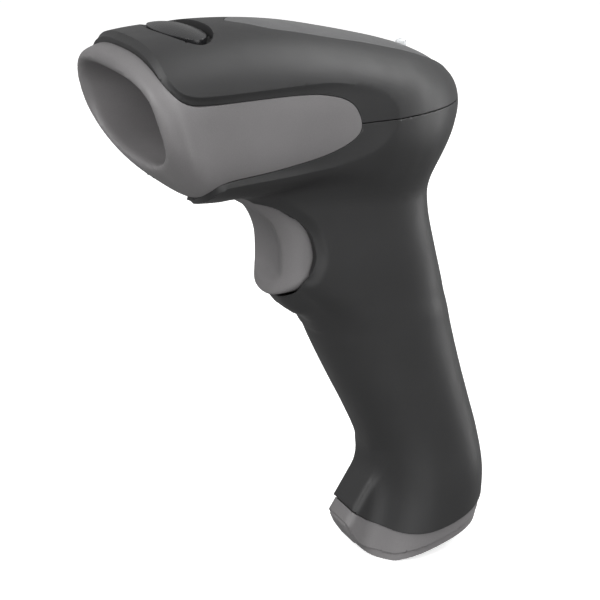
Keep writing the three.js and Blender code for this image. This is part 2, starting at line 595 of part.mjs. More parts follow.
function trigger() {
  const [y, z] = TRIGGER_PIVOT;
  const places = [93, 94.4, 96, 98, 100.5, 104, 108, 112, 116, 119, 122, 124.4, 126.3];
  const inner = [95.6, 97.5, 100.5, 104, 108, 112, 116, 119, 122];
  const outline = slotSection(TRIGGER_HALF_WIDTH + 0.2, 94.5, 130).map(([x, v]) => new THREE.Vector2(x, -v));
  const section = new THREE.ExtrudeGeometry(new THREE.Shape(outline), { depth: 60, bevelEnabled: false });
  const bottomRound = solid(section, turned(X_AXIS, -Math.PI / 2)).translate([0, -40, 0]);
  const face = loft(places.map((at) => triggerRing(at, 0))).intersect(bottomRound);
  const hollow = loft(inner.map((at) => triggerRing(at, 1.8))).intersect(bottomRound.translate([0, 0, 1.8]));
  const rib = acrossBody([[-9.4, 104], [5.86, 104], [3.42, 110.5], [-9.4, 110.5]], -1.5, 1.5);
  const boss = bar([-TRIGGER_HALF_WIDTH, y, z], [TRIGGER_HALF_WIDTH, y, z], 3.2, 20);
  const springRoom = block([0, y + 2, z + 2], [14, 14, 8.4]);
  const body = join(cut(face, hollow), rib, cut(boss, springRoom));
  return cut(body, bar([-20, y, z], [20, y, z], 1.35), block([0, y + 2.2, z - 1.6], [14, 11.2, 9.6]));
}

function triggerPin() {
  const [y, z] = TRIGGER_PIVOT;
  return bar([-14.6, y, z], [14.6, y, z], 1.25);
}

// A torsion spring around the pin, with one leg on the trigger and one on the housing.
function triggerSpring() {
  const [y, z] = TRIGGER_PIVOT;
  const turns = 4.25;
  const coil = Array.from({ length: 52 }, (_, i) => {
    const t = i / 51;
    const angle = Math.PI * 1.25 + 2 * Math.PI * turns * t;
    return new THREE.Vector3(-5.6 + 4.6 * t, y + 2.1 * Math.cos(angle), z + 2.1 * Math.sin(angle));
  });
  const first = coil[0];
  const last = coil.at(-1);
  const onTrigger = new THREE.Vector3(first.x, first.y + 0.4, first.z - 4.6);
  const onHousing = new THREE.Vector3(last.x, last.y + 5.4, last.z + 0.9);
  const path = new THREE.CatmullRomCurve3([onTrigger, ...coil, onHousing], false, 'centripetal');
  const wire = Array.from({ length: 6 }, (_, i) => (i * Math.PI) / 3)
    .map((angle) => new THREE.Vector2(0.35 * Math.cos(angle), 0.35 * Math.sin(angle)));
  const section = new THREE.Shape(wire);
  return solid(new THREE.ExtrudeGeometry(section, { steps: 84, bevelEnabled: false, extrudePath: path }));
}

// ---------------------------------------------------------------- window and scan engine

function windowGasket() {
  const ring = windowBlock([44.4, 0.7, 20.4], -1.4);
  return cut(ring, windowBlock([40.4, 6, 15.4], -1.4));
}

function engineChassis() {
  const floor = block([0, -1, 140], [36, 26, 2]);
  const sides = [-1, 1].map((side) => block([side * 17.2, -1, 147.9], [1.6, 26, 14.2]));
  const rear = block([0, 11.2, 147.9], [36, 1.6, 14.2]);
  const ears = [-1, 1].map((side) => block([side * 19.4, 2, 139.8], [4.2, 5, 1.6]));
  const laserCradle = block([10, 5.6, 142.4], [7, 8, 3]);
  const foldRest = block([0, 0, 141.5], [10, 3, 2])
    .rotate([0, 0, 45])
    .translate([FOLD_MIRROR[0], FOLD_MIRROR[1], 0]);
  const coilRest = block([0, 0, 142.2], [6, 2.4, 3]).rotate([0, 0, 45]).translate([-12, 2, 0]);
  const diodeRest = block([-1, 9.4, 141.6], [10, 1.6, 1.6]);
  const body = join(floor, ...sides, rear, ...ears, laserCradle, foldRest, coilRest, diodeRest);
  const holes = [-1, 1].map((side) => bar([side * 20, 2, 138], [side * 20, 2, 142], 1.1, 10));
  const pinHole = bar([...pinPlace, 138], [...pinPlace, 143], 1, 12);
  const laserHole = bar([10, 0, 148], [10, 14, 148], 3.8);
  return cut(body, ...holes, pinHole, laserHole);
}

// A place near the swinging mirror: u along its face, n out of its face, heights about the beam.
function nearMirror(body) {
  return body.rotate([0, 0, -45]).translate([SCAN_MIRROR[0], SCAN_MIRROR[1], BEAM_HEIGHT]);
}

const MIRROR_PIN_DEPTH = 2.6; // the pin stands this far behind the mirror
const pinPlace = [
  SCAN_MIRROR[0] - MIRROR_PIN_DEPTH * Math.SQRT1_2,
  SCAN_MIRROR[1] + MIRROR_PIN_DEPTH * Math.SQRT1_2,
];

const scanMirror = () => nearMirror(block([0, 0, 0], [1.2, 13, 9]));
const mirrorHolder = () =>
  nearMirror(cut(block([-2.6, 0, 0], [3.4, 8, 7]), bar([-2.6, 0, -9], [-2.6, 0, 9], 0.85, 12)));
const mirrorMagnet = () => nearMirror(block([-5.8, 0, 0], [2.4, 4, 3.6]));
const mirrorPin = () => bar([...pinPlace, 139.4], [...pinPlace, 153.4], 0.75, 12);
const driveCoil = () =>
  nearMirror(cut(bar([-11.4, 0, 0], [-8.6, 0, 0], 4, 18), bar([-12, 0, 0], [-8, 0, 0], 1.7, 12)));

function collectorMirror() {
  const plate = cut(block([0, 0, 0], [1.5, 12, 11]), bar([-3, 0, 0], [3, 0, 0], 1.1, 10));
  return plate.rotate([0, 0, -45]).translate([FOLD_MIRROR[0], FOLD_MIRROR[1], BEAM_HEIGHT + 0.4]);
}

function laserModule() {
  const barrel = bar([10, 1.4, BEAM_HEIGHT], [10, 10.1, BEAM_HEIGHT], 3.5, 20);
  return cut(barrel, bar([10, 0, BEAM_HEIGHT], [10, 2.6, BEAM_HEIGHT], 1.6, 12));
}

const photodiodeBoard = () => block([-1, 8.9, 148.6], [12, 1, 12]);
const photodiodeFilter = () => block([-1, 7.4, 148.6], [8, 1.2, 8]);
const engineBoard = () => block([0, 2.8, 156], [35, 18, 1.2]);

// A pan-head screw standing on its tip at the given height.
function screw(place, shaftRadius, shaftLength, headRadius, headHeight) {
  const cross = [[1.8, 0.5, 1], [0.5, 1.8, 1]].map((size) => block([0, 0, shaftLength + headHeight], size));
  const body = turning(
    [[0, 0], [shaftRadius, 0.8], [shaftRadius, shaftLength], [headRadius, shaftLength],
      [headRadius, shaftLength + headHeight * 0.5],
      [headRadius * 0.7, shaftLength + headHeight], [0, shaftLength + headHeight]],
    14,
  );
  return cut(body, ...cross).translate(place);
}

// ---------------------------------------------------------------- boards and electronics

function mainBoard() {
  const board = block([0, 25.3, 144.5], [24, 21.6, 1.2]);
  return cut(board, ...[-1, 1].map((side) => bar([side * 10.6, 26, 140], [side * 10.6, 26, 150], 1.1, 10)));
}

const decoderChip = () => block([6.4, 19.8, 146.1], [8, 8, 1.4]);
const statusLed = () => block([0, LIGHT_PIPE_Y, 146.2], [3.2, 2.8, 1.6]);
const mainConnector = () => block([0, 18, 142.4], [14, 4, 2.6]);

function beeper() {
  const can = turning([[0, 0], [5.5, 0], [5.5, 4.6], [5, 5], [0, 5]], 20);
  return cut(can, bar([0, 0, 3.6], [0, 0, 6], 1, 10)).translate([-4.6, 20.6, 145.4]);
}

function handleBoard() {
  const board = block([0, 7.4, 63], [18, 1.2, 110]);
  return cut(board, bar([0, 5, 62], [0, 10, 62], 1.1, 10));
}

const triggerSwitch = () =>
  cut(block([0, 3.6, 112.3], [6.4, 5.8, 6.4]), bar([0, 0, 112.3], [0, 4.9, 112.3], 1.6, 12));
const switchPlunger = () => bar([0, -1.2, 112.3], [0, 2.8, 112.3], 1.3, 12);
const boardHeader = () => block([0, 5.2, 24.4], [10, 2.6, 3.2]);

// A thin ribbon in side view, from the handle board up to the main board's connector.
function boardRibbon() {
  const centre = throughPoints([[13.5, 112.4], [14.4, 118], [16.6, 129], [18, 136], [18, 140.7]], 12);
  const front = centre.map(([y, z]) => [y - 0.2, z]);
  const back = centre.map(([y, z]) => [y + 0.2, z]).reverse();
  return acrossBody([...front, ...back], -5, 5);
}

function cableSocket() {
  const jack = block([0, 0, 10.2], [13.6, 11.8, 17.4]);
  const opening = block([0, -0.6, 6.6], [11, 8, 18]);
  const latchSlot = block([0, 3.6, 3], [4, 2.4, 10]);
  return cut(jack, opening, latchSlot);
}

function socketContacts() {
  const strip = block([0, -2.9, 14.5], [8.8, 1.6, 1]);
  const fingers = Array.from({ length: 8 }, (_, i) => block([-3.85 + 1.1 * i, -3.4, 9.6], [0.5, 0.5, 10]));
  return join(strip, ...fingers);
}

const socketBoard = () => block([0, 6.8, 13.6], [13.6, 1.2, 17.6]);

// ---------------------------------------------------------------- placing the parts

addPart('top_cover', topCover(), shellPlastic);
addPart('top_inlay', topInlay(), satinPlastic);
addPart('badge_plate', badgePlate(), blackPlastic);
addPart('status_light_pipe', statusLightPipe(), clearPlastic);
addPart('lower_housing', lowerHousing(), shellPlastic);
addPart('nose_bezel', noseBezel(), bezelPlastic);
addPart('base_cap', baseCap(), bezelPlastic);
addPart('cover_screw', screw([0, BADGE_Y, 159.9], 1, 6.5, 2.2, 1.2), steel);
addPart('cap_screw', capScrew(), steel);

addPart('trigger', trigger(), bezelPlastic);
addPart('trigger_pin', triggerPin(), steel);
addPart('trigger_spring', triggerSpring(), steel);

addPart('scan_window', windowBlock(WINDOW_SIZE, 0), windowPlastic);
addPart('window_gasket', windowGasket(), rubber);
addPart('engine_chassis', engineChassis(), castZinc);
addPart('laser_module', laserModule(), brass);
addPart('collector_mirror', collectorMirror(), mirrorGlass);
addPart('scan_mirror', scanMirror(), mirrorGlass);
addPart('mirror_holder', mirrorHolder(), blackPlastic);
addPart('mirror_magnet', mirrorMagnet(), steel);
addPart('mirror_pin', mirrorPin(), steel);
addPart('drive_coil', driveCoil(), copper);
addPart('photodiode_board', photodiodeBoard(), boardLaminate);
addPart('photodiode_filter', photodiodeFilter(), filterPlastic);
addPart('engine_board', engineBoard(), boardLaminate);
addPart('engine_screw_left', screw([20, 2, 134.2], 0.8, 6.7, 1.7, 1), steel);
addPart('engine_screw_right', screw([-20, 2, 134.2], 0.8, 6.7, 1.7, 1), steel);

addPart('main_board', mainBoard(), boardLaminate);
addPart('decoder_chip', decoderChip(), blackPlastic);
addPart('beeper', beeper(), blackPlastic);
addPart('status_led', statusLed(), clearPlastic);
addPart('main_connector', mainConnector(), satinPlastic);
addPart('board_screw_left', screw([10.6, 26, 139], 0.8, 6.4, 1.7, 1), steel);
addPart('board_screw_right', screw([-10.6, 26, 139], 0.8, 6.4, 1.7, 1), steel);
addPart('board_ribbon', boardRibbon(), ribbonFilm);

addPart('handle_board', handleBoard(), boardLaminate, handleGroup);
addPart('trigger_switch', triggerSwitch(), blackPlastic, handleGroup);
addPart('switch_plunger', switchPlunger(), satinPlastic, handleGroup);
addPart('board_header', boardHeader(), blackPlastic, handleGroup);
addPart('handle_board_screw', handleBoardScrew(), steel, handleGroup);

addPart('cable_socket', cableSocket(), blackPlastic, socketGroup);
addPart('socket_contacts', socketContacts(), gold, socketGroup);
addPart('socket_board', socketBoard(), boardLaminate, socketGroup);

function capScrew() {
  return screw([0, 0, 0], 0.95, 11.4, 2.1, 1.2)
    .rotate([180, 0, 0])
    .rotate([11.3, 0, 0])
    .translate([0, 54.25, 24.9]);
}

// The screw through the handle board, with its head towards the trigger.
function handleBoardScrew() {
  return screw([0, 0, 0], 0.8, 8.3, 1.8, 1.1).rotate([90, 0, 0]).translate([0, 14.8, 62]);
}

export default scanner;
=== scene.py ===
"""Looks of a handheld barcode scanner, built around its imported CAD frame.

The moulded parts are solids described by functions of a place: negative inside, zero on the surface,
roughly in millimetres. Each one is turned into a mesh whose corners are pulled onto the surfaces and edges.
Lengths are in millimetres in the frame the CAD is drawn in, and become metres in the row frame.
A term such as 0 * x gives a function of fewer coordinates the full shape of the grid.
"""

import json
import math

import bmesh
import bpy
import numpy as np
from mathutils import Matrix, Vector


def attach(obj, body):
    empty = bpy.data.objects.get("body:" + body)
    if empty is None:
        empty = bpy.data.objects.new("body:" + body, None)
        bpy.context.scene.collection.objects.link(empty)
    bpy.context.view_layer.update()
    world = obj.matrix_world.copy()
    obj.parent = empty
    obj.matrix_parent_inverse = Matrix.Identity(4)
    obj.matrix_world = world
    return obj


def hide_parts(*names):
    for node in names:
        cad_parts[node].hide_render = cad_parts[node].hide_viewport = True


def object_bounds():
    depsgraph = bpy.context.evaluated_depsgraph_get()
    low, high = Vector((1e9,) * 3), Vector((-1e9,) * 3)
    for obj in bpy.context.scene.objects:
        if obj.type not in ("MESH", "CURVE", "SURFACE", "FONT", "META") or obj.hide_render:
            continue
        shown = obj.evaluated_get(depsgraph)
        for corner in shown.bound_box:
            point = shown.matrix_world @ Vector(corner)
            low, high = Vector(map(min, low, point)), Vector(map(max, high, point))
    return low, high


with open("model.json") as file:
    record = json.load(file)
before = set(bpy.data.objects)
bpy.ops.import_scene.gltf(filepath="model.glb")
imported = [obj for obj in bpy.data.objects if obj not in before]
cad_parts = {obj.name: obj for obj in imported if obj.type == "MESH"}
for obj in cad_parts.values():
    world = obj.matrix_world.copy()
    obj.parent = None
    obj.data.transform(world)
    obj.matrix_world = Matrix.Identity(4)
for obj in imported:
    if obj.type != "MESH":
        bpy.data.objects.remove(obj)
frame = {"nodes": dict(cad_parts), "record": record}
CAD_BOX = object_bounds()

MM = 0.001
GRIP_CENTRE = np.array([0.0, 33.3, 62.4])  # the row frame's origin, in the drawing's millimetres
SEAM = 0.3  # gap between two mouldings
SEAM_HEIGHT = 146.2  # where the cover meets the housing
WALL = 2.4
HULL_WALL = WALL + 1  # wall of the two dark shells, whose bands lie below the hull
NOSE_RAKE = 0.28  # how far the front leans, in y for each millimetre of height
NOSE_FRONT = -51.4
SHELL_FRONT = -50.0
HEAD_BACK = 48.6
GRIP_TOP = 142  # the grip ends inside the head

# ---------------------------------------------------------------- sections of the body

# Head: (y, half-width, top, bottom, height of the widest place, squareness above, squareness below)
HEAD = np.array([
    (-50.0, 28.0, 168.2, 127.2, 151.0, 2.8, 3.0),
    (-42.0, 28.0, 169.8, 127.0, 150.0, 2.8, 3.1),
    (-34.0, 28.0, 170.7, 126.9, 149.5, 2.7, 3.3),
    (-20.0, 27.8, 170.8, 126.9, 149.0, 2.6, 3.3),
    (-5.0, 27.2, 169.4, 127.2, 148.0, 2.5, 3.0),
    (8.0, 26.2, 166.8, 126.0, 147.0, 2.5, 2.7),
    (17.0, 25.2, 164.7, 124.0, 146.5, 2.4, 2.5),
    (25.0, 23.2, 162.6, 122.5, 146.0, 2.4, 2.3),
    (32.3, 20.0, 160.2, 123.0, 145.5, 2.3, 2.2),
    (38.0, 16.4, 157.8, 126.0, 145.0, 2.2, 2.1),
    (43.5, 11.2, 154.2, 131.5, 144.5, 2.0, 2.0),
    (46.6, 6.6, 150.8, 136.5, 144.3, 2.0, 2.0),
    (48.4, 1.2, 145.8, 142.6, 144.2, 2.0, 2.0),
])

# The light nose moulding, in the same columns.
RIM = np.array([
    (-51.6, 29.2, 163.4, 135.8, 149.0, 2.6, 1.9),
    (-50.2, 29.9, 164.6, 134.4, 149.0, 2.6, 2.1),
    (-48.0, 30.4, 165.7, 132.2, 149.0, 2.6, 2.5),
    (-44.5, 29.4, 167.0, 129.8, 149.0, 2.6, 3.0),
    (-40.0, 28.2, 168.4, 128.8, 149.5, 2.7, 3.2),
    (-34.0, 27.1, 169.2, 128.6, 149.5, 2.7, 3.3),
    (-20.0, 26.6, 169.4, 128.4, 149.0, 2.6, 3.3),
    (-5.0, 25.9, 168.0, 128.6, 148.0, 2.5, 3.0),
    (8.0, 24.9, 165.4, 127.3, 147.0, 2.5, 2.7),
])

FUNNEL = np.array([
    (-56.0, 26.6, 162.3, 137.2, 149.0, 3.5, 2.1),
    (-50.0, 25.8, 161.2, 138.0, 149.0, 3.5, 2.2),
    (-38.0, 24.0, 158.4, 139.0, 148.8, 3.6, 3.5),
    (-18.0, 20.6, 156.2, 140.6, 148.4, 4.0, 4.0),
])

# Grip: (height, y of the front, y of the back, half-width, squareness in front, squareness behind,
# y of the widest place)
GRIP = np.array([
    (-4.0, 16.0, 61.4, 18.0, 2.4, 2.4, 38.7),
    (14.0, 22.6, 61.8, 17.8, 2.4, 2.4, 41.9),
    (28.0, 24.6, 61.9, 17.4, 2.4, 2.4, 42.9),
    (40.0, 21.8, 59.7, 16.4, 2.35, 2.35, 40.7),
    (51.7, 16.6, 56.3, 15.9, 2.3, 2.3, 36.4),
    (62.4, 11.2, 53.0, 15.8, 2.3, 2.3, 32.1),
    (78.0, 3.8, 48.6, 16.0, 2.3, 2.3, 26.2),
    (84.0, 1.5, 46.9, 16.1, 2.5, 2.4, 24.1),
    (88.6, -0.8, 45.5, 16.2, 2.9, 2.4, 22.5),
    (91.5, -3.0, 44.6, 16.2, 3.3, 2.5, 21.6),
    (96.0, -6.4, 43.2, 16.3, 4.0, 2.6, 20.2),
    (104.0, -11.3, 40.6, 16.6, 4.5, 2.8, 17.6),
    (116.0, -16.5, 37.8, 16.8, 4.3, 2.8, 14.6),
    (125.0, -26.0, 37.4, 17.2, 3.8, 2.8, 12.6),
    (134.0, -24.0, 38.8, 17.6, 3.2, 2.7, 13.5),
    (146.0, 6.0, 39.8, 17.0, 2.6, 2.4, 22.9),
])

# Trigger: (height, y of the finger face, half-width, squareness)
TRIGGER = np.array([
    (92.0, -12.2, 12.9, 2.8),
    (95.0, -12.2, 12.9, 2.8),
    (97.5, -12.0, 12.9, 2.8),
    (101.0, -11.8, 12.9, 2.8),
    (106.0, -11.6, 12.9, 2.9),
    (111.0, -12.0, 12.9, 2.9),
    (115.0, -13.4, 12.9, 2.9),
    (118.0, -15.2, 12.9, 2.9),
    (121.5, -18.4, 12.9, 2.9),
    (124.4, -22.6, 12.9, 2.9),
    (126.3, -26.0, 12.9, 2.9),
])
TRIGGER_REAR = 1.5
TRIGGER_BOTTOM = 94.8
TRIGGER_WALL = 1.8
SLOT_BOTTOM = 94.0  # the housing's slot behind the trigger
SLOT_HALF_WIDTH = 13.3
SLOT_REAR = 5
SLOT_CURVE = 13.4  # half-width of the half ellipse that both bottoms follow
SLOT_RISE = 9.5
SCOOP_DEPTH = 3.1  # finger scoop of the trigger
PANEL_DEPTH = 1.3
PANEL_GAP = 0.12

# ---------------------------------------------------------------- outlines in side view, (y, z)

RIDGE_UPPER = [(-49, 178), (-48.6, 166), (-47.4, 161.4), (-43.6, 158.6), (-36, 157.9), (-12, 158),
               (-2, 157.4), (8, 155), (13.4, 151.6), (15.6, 146.2)]
RIDGE_LOWER = [(15.6, 146.2), (14.2, 142.6), (9.2, 138.6), (1, 136.2), (-12, 135.2), (-31, 134.4),
               (-35, 133.2), (-37.6, 129), (-38.6, 120)]
PANEL_UPPER = [(-50.6, 178), (-50.2, 165), (-48.6, 160), (-44.6, 156.6), (-38, 155.6), (-17, 155.5),
               (-6, 154.6), (1.6, 151.8), (4.6, 146.2)]
PANEL_LOWER = [(4.6, 146.2), (2.4, 142.4), (-6, 139.2), (-20, 137), (-33, 135.6), (-37.2, 133.8),
               (-39.6, 129.5), (-40.6, 120)]
POCKET_EDGE = [(-26, 126.6), (-19, 124.9), (-14.4, 123.1), (-8.4, 119), (-5, 115), (-3.2, 109.4),
               (-3.5, 105.4), (-5.3, 101.4), (-8, 99.4)]
TOE = [(36, 44), (25.5, 36), (24.2, 33.4), (20.1, 28.8), (11.2, 15.4), (12.8, 11.6), (16, 6.6), (36, 0)]
TOE_HALF_WIDTH = 7.0
TOE_ROUNDING = 2.5
LIP = [(-10.2, 101), (-9.0, 94.2), (-7.8, 91.9), (-6.3, 89.9), (-4.1, 88.2), (-1.2, 86.9), (1.0, 85.3),
       (2.8, 82.6), (12, 85), (8, 100)]
LIP_HALF_WIDTH = 9.5
LIP_ROUNDING = 7.0
GRIP_BLEND, LIP_BLEND, TOE_BLEND = 7.0, 2.5, 5.0  # how softly each one runs into the body
BUTT_TOE = [(6, 24), (11, 15.2), (12.8, 11.4), (15.6, 7.2), (19.6, 4.6), (26, 3.9)]
BUTT_HEEL = [(54, 10.4), (59, 13.4), (62.4, 18), (64.6, 26)]
CAP_SEAM = [(5, 33), (13.6, 21.6), (18, 17.8), (21, 15.6), (27, 13.4), (36, 12.8), (46, 14.5), (56, 17.5),
            (70, 23.4)]

# Half of the inlay in plan, (y, half-width)
INLAY_HALF = [(-22, 0.6), (-20, 4), (-15, 10), (-9, 12), (1, 13.5), (12, 12.8), (25, 12), (35, 9.6), (42, 6),
              (43, 4.6)]
INLAY_THICKNESS = 1.6
INLAY_GROOVE = 1.8
BADGE_Y = -35.5
BADGE_HALF = (15.0, 5.2)
BADGE_SCOOP_HALF = (17.0, 6.9)
BADGE_TOP, BADGE_FLOOR = 171.0, 168.0
SCOOP_FLOOR = 167.9
LIGHT_PIPE_Y = 31.5
LIGHT_PIPE_RADIUS = 1.5
LIGHT_PIPE_BOTTOM, LIGHT_PIPE_TOP = 152, 162.0
INLAY_HOLE, COVER_HOLE = 1.75, 1.8  # radii around the light pipe

WINDOW_TILT = math.radians(10)
WINDOW_PLACE = (-21, 148.4)  # y and z of the scan window's middle
THROAT_HALF_WIDTH = 23.5
FUNNEL_WALL = 1.8
RIM_WALL = 2.2
RIM_CAVITY_FRONT = -45

CAP_INSET = 0.7  # the cap's skin lies this far inside the hull
CAP_DROP = 0.9  # and its bottom this far below the butt's outline
CAP_FLOOR = 2.4
SOCKET_PLACE = (0, 37, 6.453)
SOCKET_TILT = math.atan(6.5 / 28)
SOCKET_HOLE = (14.2, 12.4, 60)
SOCKET_RECESS = (16, 14, 2)


def through(points, steps=6):
    """A smooth curve through points: a Catmull-Rom spline with a few steps to each span."""
    p = np.array(points, float)
    ends = np.vstack([2 * p[0] - p[1], p, 2 * p[-1] - p[-2]])
    curve = []
    for a, b, c, d in zip(ends, ends[1:], ends[2:], ends[3:]):
        for t in np.arange(steps) / steps:
            curve.append(0.5 * (2 * b + (c - a) * t + (2 * a - 5 * b + 4 * c - d) * t * t
                                + (3 * b - a - 3 * c + d) * t**3))
    return np.array(curve + [p[-1]])


def loop_distance(loop):
    """Signed distance in a plane to a closed loop, negative inside."""
    a = np.array(loop, float)
    b = np.roll(a, -1, axis=0)

    def distance(u, v):
        u, v = np.broadcast_arrays(u, v)
        best = np.full(u.shape, 1e9)
        inside = np.zeros(u.shape, bool)
        for (au, av), (bu, bv) in zip(a, b):
            eu, ev = bu - au, bv - av
            length = eu * eu + ev * ev
            if length < 1e-12:
                continue
            t = np.clip(((u - au) * eu + (v - av) * ev) / length, 0, 1)
            best = np.minimum(best, (u - au - t * eu) ** 2 + (v - av - t * ev) ** 2)
            if av != bv:
                crosses = (av > v) != (bv > v)
                inside ^= crosses & (u < (bu - au) * (v - av) / (bv - av) + au)
        return np.where(inside, -1, 1) * np.sqrt(best)

    return distance


FRONT_TOP, FRONT_BOTTOM, SKY, BACK = (-80, 178), (-80, 120), 190, 90
ridge = loop_distance([*through(RIDGE_UPPER + RIDGE_LOWER[1:]), FRONT_BOTTOM, FRONT_TOP])
panel = loop_distance([*through(PANEL_UPPER + PANEL_LOWER[1:]), FRONT_BOTTOM, FRONT_TOP])
trigger_top = loop_distance([*through(POCKET_EDGE[:4]), (20, 119), (20, 60), (-60, 60), (-60, 127.4)])
pocket = loop_distance([*through(POCKET_EDGE), (-30, 99.2), (-30, 126.6)])
toe_side = loop_distance(TOE)
lip_side = loop_distance(LIP)
above_butt = loop_distance([*through(BUTT_TOE), *through(BUTT_HEEL), (BACK, SKY), (-80, SKY), (-80, 24)])
above_cap = loop_distance([*through(CAP_SEAM), (BACK, 23.4), (BACK, SKY), (-80, SKY), (-80, 33)])
inlay_curve = through([(half, y) for y, half in INLAY_HALF])
inlay_plan = loop_distance([*inlay_curve, *(inlay_curve[::-1] * (-1, 1))])

# ---------------------------------------------------------------- solids as functions of a place


def section(table, at, column):
    """One column of a table of sections at places between its rows, on a smooth curve."""
    x, v = table[:, 0], table[:, column]
    slope = np.gradient(v, x)
    at = np.clip(at, x[0], x[-1])
    i = np.clip(np.searchsorted(x, at) - 1, 0, len(x) - 2)
    span = x[i + 1] - x[i]
    t = (at - x[i]) / span
    return ((2 * t**3 - 3 * t**2 + 1) * v[i] + (t**3 - 2 * t**2 + t) * span * slope[i]
            + (3 * t**2 - 2 * t**3) * v[i + 1] + (t**3 - t**2) * span * slope[i + 1])


def smooth_step(t):
    t = np.clip(t, 0, 1)
    return t * t * (3 - 2 * t)


def soft_min(a, b, width):
    h = np.clip(0.5 + 0.5 * (b - a) / width, 0, 1)
    return b * (1 - h) + a * h - width * h * (1 - h)


def soft_max(a, b, width):
    return -soft_min(-a, -b, width)


def radial(x, u, half_width, reach, squareness):
    """Distance from a superellipse, measured along the line to its middle."""
    powers = (np.abs(x) / half_width) ** squareness + (np.abs(u) / reach) ** squareness
    g = (powers + 1e-9) ** (1 / squareness)
    r = np.sqrt(x * x + u * u + 1e-9)
    return r - r / g


def lean(at):
    return NOSE_RAKE * smooth_step((-at - 30) / 20)


def station(table, y, z, rake):
    """The place along the head of the leaning section that goes through (y, z)."""
    at = y
    for _ in range(3):
        at = y + rake(at) * (z - section(table, at, 4))
    return at


def egg(table, x, y, z, rake=lean):
    """The skin of a head-like body, without its ends."""
    at = station(table, y, z, rake)
    widest = section(table, at, 4)
    up = z >= widest
    reach = np.where(up, section(table, at, 2) - widest, widest - section(table, at, 3))
    squareness = np.where(up, section(table, at, 5), section(table, at, 6))
    return radial(x, z - widest, section(table, at, 1), reach, squareness)


def head(x, y, z):
    return np.maximum(egg(HEAD, x, y, z), y - HEAD_BACK)


def grip(x, y, z):
    front, back = section(GRIP, z, 1), section(GRIP, z, 2)
    widest = section(GRIP, z, 6)
    ahead = y < widest
    reach = np.where(ahead, widest - front, back - widest)
    squareness = np.where(ahead, section(GRIP, z, 4), section(GRIP, z, 5))
    return np.maximum(radial(x, y - widest, section(GRIP, z, 3), reach, squareness), z - GRIP_TOP)


def toe(x, y, z):
    return soft_max(toe_side(y, z), np.abs(x) - TOE_HALF_WIDTH, TOE_ROUNDING)


def lip(x, y, z):
    """The small shelf under the trigger that stops the finger from sliding down."""
    return soft_max(lip_side(y, z), np.abs(x) - LIP_HALF_WIDTH, LIP_ROUNDING)


def hull(x, y, z):
    """The whole dark body: head and grip blended into each other, with the lip and the toe on the grip."""
    body = soft_min(head(x, y, z), grip(x, y, z), GRIP_BLEND)
    body = soft_min(body, lip(x, y, z), LIP_BLEND)
    return soft_min(body, toe(x, y, z), TOE_BLEND)


def band_depth(y, z):
    """How far the band between the ridge and the light panel lies below the hull."""
    inward = np.maximum(-ridge(y, z), 0)
    across = np.clip(inward / (inward + np.maximum(panel(y, z), 0) + 1e-6), 0, 1)
    return PANEL_DEPTH * across * (1.7 - 0.7 * across)


def pocket_dip(y, z):
    """The housing rolls inwards at the edge around the trigger."""
    return 1.1 * (1 - smooth_step(pocket(y, z) / 3.2)) * smooth_step((z - 97) / 5)


def slot_bottom(x, bottom):
    """Height of a bottom edge that rises to both sides on a half ellipse."""
    return bottom + SLOT_RISE * (1 - np.sqrt(np.clip(1 - (x / SLOT_CURVE) ** 2, 0, 1)))


def upright_hole(x, y, radius):
    return radius - np.sqrt(x * x + (y - LIGHT_PIPE_Y) ** 2)


# ---------------------------------------------------------------- from functions to meshes


def surface_net(values, origin, cell):
    """Corners and four-sided faces of the surface where values on a grid change sign."""
    size = np.array(values.shape)
    total = np.zeros((*(size - 1), 3))
    count = np.zeros(size - 1)
    faces = []
    for axis in range(3):
        u, v = [(1, 2), (2, 0), (0, 1)][axis]
        low = [slice(None)] * 3
        high = [slice(None)] * 3
        low[axis], high[axis] = slice(0, -1), slice(1, None)
        a, b = values[tuple(low)], values[tuple(high)]
        crossing = (a < 0) != (b < 0)
        index = np.argwhere(crossing)
        a, b = a[crossing], b[crossing]
        keep = (index[:, u] > 0) & (index[:, v] > 0)
        keep &= (index[:, u] < size[u] - 1) & (index[:, v] < size[v] - 1)
        index, a, b = index[keep], a[keep], b[keep]
        place = index.astype(float)
        place[:, axis] += a / (a - b)
        ring = []
        for du, dv in ((-1, -1), (0, -1), (0, 0), (-1, 0)):
            around = index.copy()
            around[:, u] += du
            around[:, v] += dv
            np.add.at(total, tuple(around.T), place)
            np.add.at(count, tuple(around.T), 1)
            ring.append(around)
        flat = np.stack([np.ravel_multi_index(tuple(r.T), size - 1) for r in ring], axis=1)
        faces.append(np.where((a < 0)[:, None], flat, flat[:, ::-1]))
    faces = np.vstack(faces)
    used, faces = np.unique(faces, return_inverse=True)
    corners = total.reshape(-1, 3)[used] / count.reshape(-1)[used][:, None]
    return corners * cell + origin, faces.reshape(-1, 4)


